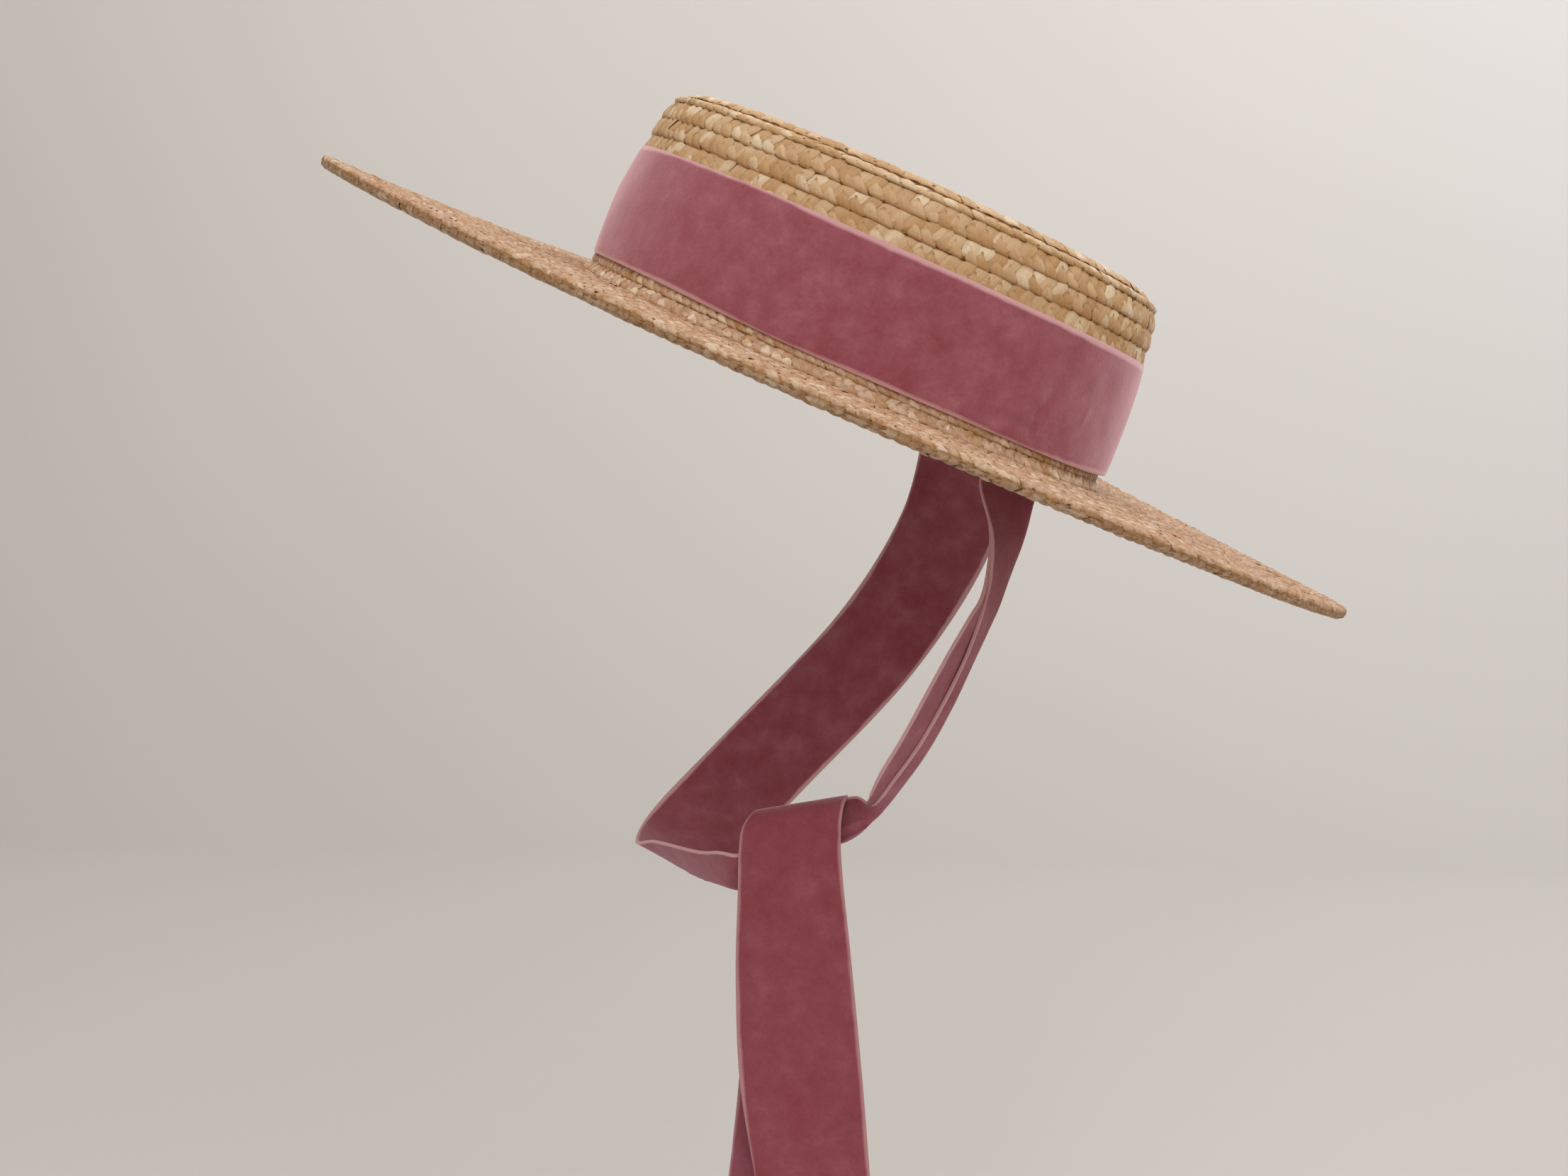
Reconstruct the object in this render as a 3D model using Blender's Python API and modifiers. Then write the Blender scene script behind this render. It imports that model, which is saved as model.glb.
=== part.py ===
"""Straw boater hat with a velvet band and chin ribbon, as separate sub-parts.

Metres, +Z up, the front of the hat towards -X, its near side towards -Y. The origin is
the middle of the head opening in the plane of the brim. The hat leans back as it is worn.
"""
import math

import bmesh
import bpy
from mathutils import Matrix, Vector

MM = 0.001
COLLECTION = "boater_hat"

# Hat as worn
LEAN_DEG = 23.45
OVAL_MM = 9.5
OVAL_FULL_R_MM = 90.0
ROUND_STEPS = 48

# Straw rows and walls
ROW_PITCH_MM = 6.65
ROW_LIP_MM = 0.7
WALL_MM = 2.2
GAP_MM = 0.35

# Crown
CROWN_R_MM = 98.6
CROWN_TAPER = 0.055
TAPER_FROM_Z_MM = 20.0
ROUND_FROM_Z_MM = 54.0
ROUND_IN_PER_MM2 = 0.013
FIRST_GROOVE_Z_MM = 66.6
SHOULDER_Z_MM = 71.8
SHOULDER_IN_MM = 6.0
TIP_RISE_MM = 2.4
TIP_RIBS = 7

# Brim
BRIM_R_MM = 196.0
BRIM_T_MM = 2.4
BRIM_EDGE_T_MM = 3.2
BRIM_RIBS = 7
BRIM_UNDER_RIBS = 4
CROWN_FOOT_Z_MM = BRIM_T_MM / 2 + GAP_MM

# Ribbon
RIBBON_W_MM = 41.0
RIBBON_T_MM = 1.1
BAND_FOOT_Z_MM = 7.9
BAND_BULGE_MM = 0.8
FOLD_BASE_MM = 1.6
SPLINE_STEPS = 3

# Brim warp: waves round the brim, lift of the edge in mm
WARP = [
    # waves, cos_mm, sin_mm
    (2, -2.2, 0.8),
    (3, -0.2, -1.8),
    (4, 0.35, 0.25),
]

# Straps: the fold line in mm, bearing and rise of the line that halves the two flaps,
# the angle between them, and the length of the front and the back flap
NEAR_STRAP = [
    # x, y, z, lie_deg, rise_deg, gape_deg, front_mm, back_mm
    (60.0, -59.2, -2.2, -61, -12, 191, 13.5, 13.5),
    (49.2, -58.0, -29.0, -64, -12, 184, 12.0, 12.0),
    (56.8, -61.4, -43.0, -95, 0, 66, 12.3, 12.3),
    (59.6, -62.4, -54.0, -108, 8, 18, 15.5, 15.5),
    (57.8, -62.5, -63.3, -113, 16, 3, 19.0, 18.0),
    (54.8, -64.0, -71.7, -109, 15, 3, 19.0, 18.0),
    (51.9, -65.0, -78.2, -108, 16, 4, 18.5, 18.5),
    (46.4, -65.5, -90.7, -107, 18, 10, 18.0, 19.0),
    (40.1, -65.5, -105.3, -108, 21, 12, 17.5, 19.0),
    (32.2, -65.0, -120.7, -109, 24, 11, 17.5, 19.0),
    (23.8, -64.0, -133.5, -109, 25, 8, 16.0, 17.5),
    (17.2, -61.5, -142.8, -105, 32, 5, 13.0, 14.0),
    (13.1, -59.0, -147.2, -96, 38, 3, 10.0, 10.5),
    (9.8, -57.0, -150.0, -84, 48, 3, 7.5, 7.5),
    (7.4, -56.4, -150.2, -84, 56, 3, 5.5, 5.5),
]
FAR_STRAP = [
    # x, y, z, lie_deg, rise_deg, gape_deg, front_mm, back_mm
    (-34.9, -53.0, -174.8, 90, 84, 26, 11.5, 18.0),
    (-44.8, -36.0, -178.4, 90, 86, 60, 13.0, 18.0),
    (-55.0, -18.0, -181.6, 20, 74, 120, 17.0, 18.5),
    (-59.6, -2.0, -183.2, 0, 67, 172, 19.0, 19.0),
    (-56.0, 24.0, -178.0, -50, 58, 186, 19.2, 19.2),
    (-30.0, 54.0, -156.0, -82, 22, 186, 19.2, 19.2),
    (14.0, 66.0, -110.0, -92, 4, 184, 19.2, 19.2),
    (42.0, 66.0, -64.0, -100, 0, 178, 19.2, 19.2),
    (51.2, 60.0, -24.6, -118, 12, 167, 19.2, 19.2),
    (60.2, 59.6, -2.2, -119, 12, 167, 19.2, 19.2),
]

# Tails: left edge, right edge and how far the middle bows to the front, in mm
FRONT_TAIL = [
    # x_left, y_left, z_left, x_right, y_right, z_right, bow_mm
    (-29.5, -46.5, -160.0, 4.5, -46.5, -150.5, 0.0),
    (-30.4, -48.5, -154.2, 4.6, -48.0, -144.4, 0.0),
    (-29.6, -54.5, -151.0, 5.2, -54.5, -141.2, 0.0),
    (-31.4, -60.8, -155.0, 4.7, -61.0, -143.8, 0.6),
    (-32.4, -62.8, -162.0, 3.6, -63.4, -152.0, 1.6),
    (-32.7, -64.4, -176.0, 3.6, -65.4, -166.0, 2.0),
    (-32.9, -68.0, -201.0, 6.9, -69.2, -194.0, 1.2),
    (-31.4, -73.0, -236.0, 11.2, -74.0, -236.0, -0.6),
    (-25.7, -78.0, -270.0, 14.2, -79.0, -270.0, 0.8),
    (-21.6, -80.5, -292.0, 16.0, -81.5, -292.0, 1.0),
]
BACK_TAIL = [
    # x_left, y_left, z_left, x_right, y_right, z_right, bow_mm
    (-27.0, -54.2, -174.6, 1.0, -54.2, -164.9, 0.4),
    (-28.5, -55.0, -185.0, 3.0, -55.0, -178.0, 1.8),
    (-31.0, -57.0, -206.0, 6.0, -57.0, -203.0, 1.6),
    (-32.5, -60.5, -241.0, 7.4, -59.0, -239.0, 0.4),
    (-36.0, -65.0, -276.5, 4.4, -61.0, -275.5, -1.0),
    (-38.4, -67.0, -295.0, 2.4, -62.0, -294.0, -1.2),
]

# Knot: oval sections along its length, in mm
KNOT = [
    # x, y, z, half_depth, half_height
    (-30.6, -53.8, -166.0, 3.2, 7.6),
    (-24.0, -54.0, -164.2, 4.4, 9.0),
    (-10.0, -54.2, -159.4, 4.6, 7.4),
    (-2.0, -54.4, -155.6, 4.2, 6.4),
    (6.2, -55.0, -151.0, 3.0, 4.6),
]
KNOT_SIDES = 12

# Looks: colour as sRGB hex, roughness
STRAW = ("D8B889", 0.62)
VELVET = ("8E434D", 0.95)


def to_linear(value):
    """One sRGB channel as a linear value."""
    return value / 12.92 if value <= 0.04045 else ((value + 0.055) / 1.055) ** 2.4


def material(name, look):
    """A plain Principled material from an sRGB hex colour and a roughness."""
    code, roughness = look
    rgb = [to_linear(int(code[i:i + 2], 16) / 255) for i in (0, 2, 4)]
    mat = bpy.data.materials.new(name)
    mat.use_nodes = True
    shader = mat.node_tree.nodes["Principled BSDF"]
    shader.inputs["Base Color"].default_value = (*rgb, 1.0)
    shader.inputs["Roughness"].default_value = roughness
    shader.inputs["Metallic"].default_value = 0.0
    mat.diffuse_color = (*rgb, 1.0)
    return mat


def add_part(collection, name, bm, look, smooth=True):
    """A named mesh object with its own material, placed in the collection."""
    mesh = bpy.data.meshes.new(name)
    bm.to_mesh(mesh)
    bm.free()
    for polygon in mesh.polygons:
        polygon.use_smooth = smooth
    obj = bpy.data.objects.new(name, mesh)
    obj.data.materials.append(material(name, look))
    collection.objects.link(obj)
    return obj


def apply_modifier(obj, modifier):
    """Apply one modifier to the object."""
    bpy.ops.object.select_all(action="DESELECT")
    obj.select_set(True)
    bpy.context.view_layer.objects.active = obj
    bpy.ops.object.modifier_apply(modifier=modifier.name)


def turned(collection, name, profile_mm, look):
    """A closed solid turned from a profile of radius and height, top to bottom."""
    bm = bmesh.new()
    verts = [bm.verts.new((r * MM, 0.0, z * MM)) for r, z in profile_mm]
    on_axis = profile_mm[0][0] == 0
    for a, b in zip(verts, verts[1:]):
        bm.edges.new((a, b))
    if not on_axis:
        bm.edges.new((verts[-1], verts[0]))
    obj = add_part(collection, name, bm, look)
    screw = obj.modifiers.new("turn", "SCREW")
    screw.axis = "Z"
    screw.angle = math.tau
    screw.steps = ROUND_STEPS
    screw.render_steps = ROUND_STEPS
    screw.use_merge_vertices = True
    screw.merge_threshold = 0.00005
    screw.use_smooth_shade = True
    apply_modifier(obj, screw)
    return obj


def oval(x, y):
    """A point on a circle moved to the head's oval, by the same width all the way out."""
    radius = math.hypot(x, y) / MM
    if radius == 0:
        return x, y
    stretch = OVAL_MM / max(radius, OVAL_FULL_R_MM)
    return x * (1 + stretch), y * (1 - stretch)


def brim_lift(x, y):
    """How far the warp lifts a brim point, growing from the crown to the edge."""
    radius = math.hypot(x, y) / MM
    across = (radius - CROWN_R_MM) / (BRIM_R_MM - OVAL_MM - CROWN_R_MM)
    across = max(0.0, across)
    angle = math.atan2(y, x)
    lift = sum(c * math.cos(n * angle) + s * math.sin(n * angle) for n, c, s in WARP)
    return lift * across ** 1.6 * MM


def shape_oval(obj, warped=False):
    """Move a turned solid's points to the oval, and lift them where the brim warps."""
    for vert in obj.data.vertices:
        x, y, z = vert.co
        if warped:
            z += brim_lift(x, y)
        x, y = oval(x, y)
        vert.co = (x, y, z)


def side_r(z_mm):
    """Mean radius of the crown's outside at a height."""
    rounding = ROUND_IN_PER_MM2 * max(0.0, z_mm - ROUND_FROM_Z_MM) ** 2
    return CROWN_R_MM - OVAL_MM - CROWN_TAPER * (z_mm - TAPER_FROM_Z_MM) - rounding


def crown_profile():
    """Outside from the tip's middle down to the foot, then back up inside."""
    edge_r = side_r(SHOULDER_Z_MM) - SHOULDER_IN_MM
    tip_z = SHOULDER_Z_MM + TIP_RISE_MM
    points = [(0.0, tip_z)]
    pitch = edge_r / TIP_RIBS
    for rib in range(1, TIP_RIBS):
        r = rib * pitch
        z = tip_z - TIP_RISE_MM * (r / edge_r) ** 2
        points.append((r, z + 0.15))
        points.append((r + 0.5, z - ROW_LIP_MM + 0.15))
    points.append((edge_r, SHOULDER_Z_MM + 0.2))
    points.append((edge_r + SHOULDER_IN_MM * 0.7, SHOULDER_Z_MM - 1.6))
    z = FIRST_GROOVE_Z_MM
    points.append((side_r(z) + 0.1, z + 0.5))
    band_top = BAND_FOOT_Z_MM + RIBBON_W_MM
    while z > band_top:
        points.append((side_r(z) - ROW_LIP_MM, z))
        lower = z - ROW_PITCH_MM
        points.append((side_r(lower), max(lower + 0.6, band_top - 1.0)))
        z = lower
    points.append((side_r(z) - ROW_LIP_MM, band_top - 1.4))
    points.append((side_r(BAND_FOOT_Z_MM) - ROW_LIP_MM, BAND_FOOT_Z_MM + 1.2))
    points.append((side_r(BAND_FOOT_Z_MM) - 0.3, BAND_FOOT_Z_MM - 0.2))
    points.append((side_r(BAND_FOOT_Z_MM) + 0.9, CROWN_FOOT_Z_MM + 2.0))
    points.append((side_r(BAND_FOOT_Z_MM) + 1.2, CROWN_FOOT_Z_MM))
    foot_in = side_r(0) - ROW_LIP_MM - WALL_MM
    points.append((foot_in, CROWN_FOOT_Z_MM))
    shoulder_in_z = SHOULDER_Z_MM - WALL_MM
    points.append((side_r(FIRST_GROOVE_Z_MM) - ROW_LIP_MM - WALL_MM, FIRST_GROOVE_Z_MM - 1.0))
    points.append((edge_r - 0.6, shoulder_in_z))
    points.append((edge_r * 0.5, shoulder_in_z + TIP_RISE_MM * 0.75 - ROW_LIP_MM))
    points.append((0.0, tip_z - WALL_MM - ROW_LIP_MM))
    return points


def brim_profile():
    """Upper face from the head opening out to the edge, then back underneath."""
    inner = side_r(0) - ROW_LIP_MM - WALL_MM
    outer = BRIM_R_MM - OVAL_MM
    half = BRIM_T_MM / 2
    edge = BRIM_EDGE_T_MM / 2
    points = [(inner, half)]
    seat = side_r(0) + 3.0
    points.append((seat, half))
    pitch = (outer - 3.0 - seat) / BRIM_RIBS
    for rib in range(1, BRIM_RIBS):
        r = seat + rib * pitch
        points.append((r - 0.5, half + 0.2))
        points.append((r, half + 0.2 - ROW_LIP_MM))
    points.append((outer - 3.0, edge))
    points.append((outer - 0.7, edge * 0.7))
    points.append((outer, 0.0))
    points.append((outer - 0.7, -edge * 0.7))
    points.append((outer - 3.0, -edge))
    pitch = (outer - 3.0 - seat) / BRIM_UNDER_RIBS
    for rib in range(1, BRIM_UNDER_RIBS):
        r = outer - 3.0 - rib * pitch
        points.append((r + 0.5, -half + 0.1))
        points.append((r, -half - 0.2))
    points.append((inner, -half))
    return points


def band_profile():
    """The velvet band's section, upper edge first."""
    foot = BAND_FOOT_Z_MM
    top = foot + RIBBON_W_MM
    heights = [top, top - 2.0, foot + RIBBON_W_MM * 0.4, foot + 2.0, foot]
    bulges = [-0.25, 0.0, BAND_BULGE_MM, 0.1, -0.25]
    outer = [(side_r(z) + GAP_MM + RIBBON_T_MM + b, z) for z, b in zip(heights, bulges)]
    inner = [(side_r(z) + GAP_MM, z) for z in (foot, top)]
    return outer + inner


def spline_rows(rows, steps):
    """Rows of numbers with Catmull-Rom rows put in between."""
    out = []
    last = len(rows) - 1
    for i in range(last):
        p0, p1 = rows[max(i - 1, 0)], rows[i]
        p2, p3 = rows[i + 1], rows[min(i + 2, last)]
        for k in range(steps):
            t = k / steps
            out.append([
                0.5 * (2 * b + (c - a) * t + (2 * a - 5 * b + 4 * c - d) * t * t
                       + (3 * b - a - 3 * c + d) * t ** 3)
                for a, b, c, d in zip(p0, p1, p2, p3)
            ])
    out.append(list(rows[-1]))
    return out


def bearing(lie_deg, rise_deg):
    """Unit vector from a bearing round +Z and a rise above level."""
    lie, rise = math.radians(lie_deg), math.radians(rise_deg)
    return Vector((math.cos(lie) * math.cos(rise), math.sin(lie) * math.cos(rise), math.sin(rise)))


def strap_sections(table):
    """Four points across a folded strap at each row: front edge, two at the fold, back edge."""
    rows = spline_rows(table, SPLINE_STEPS)
    folds = [Vector(row[:3]) for row in rows]
    sections = []
    for i, row in enumerate(rows):
        along = folds[min(i + 1, len(rows) - 1)] - folds[max(i - 1, 0)]
        along.normalize()
        halving = bearing(row[3], row[4])
        halving -= along * halving.dot(along)
        halving.normalize()
        side = along.cross(halving)
        half_gape = math.radians(row[5]) / 2
        reach = halving * math.cos(half_gape)
        spread = side * math.sin(half_gape)
        front_root = folds[i] - side * FOLD_BASE_MM / 2
        back_root = folds[i] + side * FOLD_BASE_MM / 2
        sections.append([
            front_root + (reach - spread) * row[6],
            front_root,
            back_root,
            back_root + (reach + spread) * row[7],
        ])
    return sections


def tail_sections(table):
    """Five points across a tail at each row, from its left edge to its right edge."""
    sections = []
    for row in spline_rows(table, SPLINE_STEPS):
        left, right = Vector(row[:3]), Vector(row[3:6])
        points = []
        for k in range(5):
            t = k / 4
            point = left.lerp(right, t)
            point.y -= row[6] * 4 * t * (1 - t)
            points.append(point)
        sections.append(points)
    return sections


def ribbon(collection, name, sections):
    """A strip lofted through the sections and thickened evenly to both sides."""
    bm = bmesh.new()
    grid = [[bm.verts.new(point * MM) for point in section] for section in sections]
    for row_a, row_b in zip(grid, grid[1:]):
        for k in range(len(row_a) - 1):
            bm.faces.new((row_a[k], row_a[k + 1], row_b[k + 1], row_b[k]))
    obj = add_part(collection, name, bm, VELVET)
    solid = obj.modifiers.new("thickness", "SOLIDIFY")
    solid.thickness = RIBBON_T_MM * MM
    solid.offset = 0.0
    solid.use_even_offset = True
    apply_modifier(obj, solid)
    return obj


def knot(collection):
    """The gathered crossing: oval sections joined along their length, closed at both ends."""
    bm = bmesh.new()
    rings = []
    for x, y, z, depth, height in spline_rows(KNOT, 2):
        ring = []
        for k in range(KNOT_SIDES):
            angle = math.tau * k / KNOT_SIDES
            point = Vector((x, y + depth * math.cos(angle), z + height * math.sin(angle)))
            ring.append(bm.verts.new(point * MM))
        rings.append(ring)
    for ring_a, ring_b in zip(rings, rings[1:]):
        for k in range(KNOT_SIDES):
            j = (k + 1) % KNOT_SIDES
            bm.faces.new((ring_a[k], ring_a[j], ring_b[j], ring_b[k]))
    bm.faces.new(list(reversed(rings[0])))
    bm.faces.new(rings[-1])
    bmesh.ops.recalc_face_normals(bm, faces=bm.faces)
    return add_part(collection, "knot", bm, VELVET)


def lean_hat(crown, others):
    """Seat the brim and the band on the crown, and lean the crown back as it is worn."""
    for obj in others:
        obj.parent = crown
        obj.matrix_parent_inverse = Matrix.Identity(4)
    crown.rotation_euler = (0.0, math.radians(LEAN_DEG), 0.0)


def main():
    """Build every sub-part in its place."""
    for obj in list(bpy.data.objects):
        bpy.data.objects.remove(obj)
    collection = bpy.data.collections.new(COLLECTION)
    bpy.context.scene.collection.children.link(collection)

    crown = turned(collection, "crown", crown_profile(), STRAW)
    shape_oval(crown)
    brim = turned(collection, "brim", brim_profile(), STRAW)
    shape_oval(brim, warped=True)
    band = turned(collection, "hat_band", band_profile(), VELVET)
    shape_oval(band)
    lean_hat(crown, [brim, band])

    ribbon(collection, "near_chin_strap", strap_sections(NEAR_STRAP))
    ribbon(collection, "far_chin_strap", strap_sections(FAR_STRAP))
    ribbon(collection, "front_tail", tail_sections(FRONT_TAIL))
    ribbon(collection, "back_tail", tail_sections(BACK_TAIL))
    knot(collection)
    bpy.context.view_layer.update()


main()
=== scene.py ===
"""Straw boater hat as worn: sewn wheat plait, a velvet band and a tied velvet chin ribbon.

Laid out as an add-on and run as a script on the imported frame. Metres, +Z up, the front of
the hat towards -X and its near side towards -Y. Hat-making sizes are in millimetres inside
the functions, because rows, teeth and ribbon are measured that way.
"""
import math

import bmesh
import bpy
import numpy as np
from bpy.props import FloatProperty, FloatVectorProperty, PointerProperty
from mathutils import Matrix, Vector


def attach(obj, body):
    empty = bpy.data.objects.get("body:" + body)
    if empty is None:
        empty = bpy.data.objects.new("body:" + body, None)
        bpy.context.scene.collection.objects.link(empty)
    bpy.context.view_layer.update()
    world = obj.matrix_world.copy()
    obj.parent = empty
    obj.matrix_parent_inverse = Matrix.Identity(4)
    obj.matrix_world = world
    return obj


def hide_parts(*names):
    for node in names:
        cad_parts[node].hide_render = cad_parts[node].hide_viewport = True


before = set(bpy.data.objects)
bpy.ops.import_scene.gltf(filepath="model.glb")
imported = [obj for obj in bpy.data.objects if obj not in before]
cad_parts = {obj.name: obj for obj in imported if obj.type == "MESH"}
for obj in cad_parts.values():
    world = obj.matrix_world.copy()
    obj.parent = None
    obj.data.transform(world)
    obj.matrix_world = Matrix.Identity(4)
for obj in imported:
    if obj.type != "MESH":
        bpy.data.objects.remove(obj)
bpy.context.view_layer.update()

bl_info = {
    "name": "Straw Boater",
    "version": (1, 0, 0),
    "blender": (4, 5, 0),
    "location": "View3D > Sidebar > Boater",
    "description": "Sewn straw boater with a velvet band and a tied chin ribbon",
    "category": "Object",
}

MM = 0.001

# Camera, from a fit to the photo: its frame and focal length in pixels, then its place and
# the directions of its right, up and forward in the hat's axes
PHOTO = (2212, 1659)
FOCAL_PX = 2302.41
CAMERA_AT = Vector((0.015786, -0.602254, 0.019301))
CAMERA_RIGHT = Vector((0.99821031, 0.05980118, 0.0))
CAMERA_UP = Vector((-0.00937191, 0.15643727, 0.98764343))
CAMERA_FORWARD = Vector((-0.05906224, 0.98587585, -0.15671775))

# Crown's side, in mm: its taper from a height up, its rounding into the tip from another
# height up, and the groove under its shoulder
SIDE_TAPER = 0.055
TAPER_FROM = 20.0
ROUNDING = 0.013
ROUND_FROM = 54.0
GROOVE_HEIGHT = 66.6

# Teeth of the finer rows, in mm, and how much more the brim's teeth stand out
FOOT_TOOTH = 3.3
RIM_TOOTH = 3.5
BRIM_TOOTH = 3.9
BRIM_RELIEF = 1.5
RIM_RELIEF = 1.3

# Ribbon, in mm: half the gap between a folded strap's flaps, and the ribs of its woven edge
FOLD_GAP = 0.62
RIB_PITCH = 0.55

# Velvet of each ribbon: how far its body, its brushed and deep patches and its edge lean towards the
# other velvet colours, and its sheen. The ribbons are lit and shaded copies of one velvet: a darker
# body, as on the front tail, is painted shade, and more bloom, as on the back tail, the straps and the
# knot, is painted light.
VELVETS = {
    # ribbon: body (painted shade), bloom (brushed pile and painted light), deep, edge, sheen
    "band": (0.0, 0.35, 0.8, 0.8, 1.0),
    "straps": (0.1, 0.3, 0.8, 0.95, 0.5),
    "front tail": (0.6, 0.2, 1.0, 0.5, 0.6),
    "back tail": (0.0, 0.5, 0.2, 0.5, 0.9),
    "knot": (0.0, 0.6, 0.3, 0.0, 1.0),
}

# Settings of a Mix node that multiplies two colours
MULTIPLY_COLOURS = {"data_type": "RGBA", "blend_type": "MULTIPLY"}

# Soft square lights, in metres
LIGHTS = [
    # name, place, target, size, watts, colour
    ("window_light", (0.4, -1.7, 1.4), (0.0, 0.0, 0.0), 2.0, 27.0, "FFF9F4"),
    ("ceiling_light", (-0.3, 0.3, 2.0), (0.0, 0.0, 0.0), 2.4, 19.0, "FFFDFA"),
    ("wall_light", (1.9, 0.5, 1.8), (0.8, 1.7, 0.7), 1.0, 31.0, "EFF3FF"),
]

# Brim warp, in mm: the mean radius where it starts, and its waves round the brim
WARP_START = 98.6
WARP = [
    # waves, cos_mm, sin_mm
    (2, -2.2, 0.8),
    (3, -0.2, -1.8),
    (4, 0.35, 0.25),
]

# Straps, folded in half along their length: the fold, the near flap's edge and the far
# flap's edge, in mm
NEAR_STRAP = [
    # x, y, z, x_near, y_near, z_near, x_far, y_far, z_far
    (59.4, -58.1, -1.9, 70.8, -52.3, -6.2, 49.2, -66.1, 1.8),
    (57.4, -53.3, -21.6, 67.6, -47.5, -25.0, 48.4, -61.3, -18.0),
    (63.4, -55.4, -30.4, 62.0, -67.0, -29.6, 48.4, -62.0, -24.4),
    (66.6, -57.5, -36.6, 48.2, -63.6, -28.8, 48.8, -61.6, -28.8),
    (62.7, -60.0, -50.5, 51.2, -73.1, -46.1, 51.7, -71.6, -46.0),
    (57.8, -62.5, -63.3, 50.8, -76.1, -58.7, 50.9, -76.0, -58.1),
    (54.8, -64.0, -71.7, 49.1, -76.1, -67.6, 48.8, -79.0, -66.8),
    (51.9, -65.0, -78.2, 47.4, -75.6, -74.6, 45.1, -81.4, -72.8),
    (46.4, -65.5, -90.7, 43.1, -73.2, -87.8, 38.6, -81.6, -84.4),
    (40.1, -65.5, -105.3, 36.6, -71.9, -102.2, 31.7, -80.8, -97.8),
    (32.2, -65.0, -120.7, 28.6, -71.7, -117.2, 24.1, -80.2, -112.8),
    (23.8, -64.0, -133.5, 20.4, -70.8, -129.6, 17.0, -77.6, -125.9),
    (17.2, -62.0, -142.8, 14.9, -66.8, -138.4, 13.1, -70.0, -136.4),
    (13.1, -62.0, -147.4, 12.2, -60.5, -141.2, 11.8, -59.5, -141.4),
    (8.4, -63.0, -151.8, 9.0, -55.5, -140.6, 9.2, -53.8, -142.4),
    (3.0, -61.2, -155.4, 4.2, -54.0, -141.9, 4.4, -52.5, -143.8),
    (-3.0, -60.0, -156.6, -2.0, -54.0, -145.0, -2.0, -52.5, -146.6),
]
FAR_STRAP = [
    # x, y, z, x_near, y_near, z_near, x_far, y_far, z_far
    (-26.0, -56.5, -174.6, -25.6, -60.2, -159.4, -30.9, -49.0, -167.4),
    (-33.6, -56.4, -174.6, -33.0, -61.0, -160.2, -32.2, -49.0, -167.2),
    (-40.2, -48.6, -175.6, -39.4, -57.4, -160.6, -35.2, -40.4, -169.0),
    (-47.0, -36.5, -178.2, -48.0, -46.0, -164.4, -37.8, -29.1, -171.6),
    (-55.0, -18.0, -181.6, -66.7, -20.1, -169.4, -37.9, -12.6, -177.1),
    (-59.6, -2.0, -183.1, -76.5, -3.1, -174.6, -41.7, -1.0, -189.4),
    (-56.6, 25.2, -179.8, -72.7, 29.0, -170.1, -39.8, 20.1, -187.5),
    (-30.3, 56.0, -156.9, -44.3, 58.1, -143.8, -16.0, 51.8, -169.0),
    (14.0, 67.9, -110.2, -1.2, 68.0, -98.4, 29.2, 65.3, -121.8),
    (42.1, 66.9, -64.0, 24.6, 68.7, -56.2, 59.2, 62.6, -71.7),
    (50.7, 59.2, -24.5, 34.6, 67.7, -18.9, 65.6, 48.5, -30.0),
    (59.7, 58.8, -2.0, 44.1, 67.6, 4.4, 74.2, 47.9, -8.0),
]

# Tails: left edge, right edge and how far the middle bows to the front, in mm
FRONT_TAIL = [
    # x_left, y_left, z_left, x_right, y_right, z_right, bow_mm
    (-26.5, -46.0, -160.0, 4.5, -46.0, -151.5, 0.0),
    (-24.5, -47.5, -152.4, 5.0, -47.5, -145.2, 0.0),
    (-24.5, -52.5, -147.2, 5.2, -52.5, -141.6, 0.0),
    (-27.5, -58.0, -146.2, 5.0, -58.0, -140.0, 0.0),
    (-30.8, -62.0, -150.0, 3.9, -62.4, -142.0, 0.4),
    (-31.9, -63.4, -157.0, 3.0, -64.0, -150.0, 1.4),
    (-32.4, -64.4, -174.0, 3.6, -65.4, -165.0, 2.0),
    (-32.9, -68.0, -201.0, 6.9, -69.2, -194.0, 1.2),
    (-31.4, -73.0, -236.0, 11.2, -74.0, -236.0, -0.6),
    (-25.7, -78.0, -270.0, 14.2, -79.0, -270.0, 0.8),
    (-21.6, -80.5, -292.0, 16.0, -81.5, -292.0, 1.0),
]
BACK_TAIL = [
    # x_left, y_left, z_left, x_right, y_right, z_right, bow_mm
    (-27.0, -54.2, -174.6, 1.0, -54.2, -164.9, 0.4),
    (-28.5, -55.0, -185.0, 3.0, -55.0, -178.0, 1.8),
    (-31.0, -57.0, -206.0, 6.0, -57.0, -203.0, 1.6),
    (-32.5, -60.5, -241.0, 7.4, -59.0, -239.0, 0.4),
    (-36.0, -65.0, -276.5, 4.4, -61.0, -275.5, -1.0),
    (-38.4, -67.0, -295.0, 2.4, -62.0, -294.0, -1.2),
]

# Knot: oval sections along its length, in mm
KNOT = [
    # x, y, z, half_depth, half_height
    (-27.2, -51.8, -164.4, 2.2, 6.6),
    (-23.0, -51.6, -162.6, 3.0, 8.4),
    (-10.0, -51.5, -158.0, 3.0, 8.0),
    (-2.0, -51.5, -154.4, 2.8, 7.4),
    (3.0, -51.8, -151.4, 1.8, 5.0),
]

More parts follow.
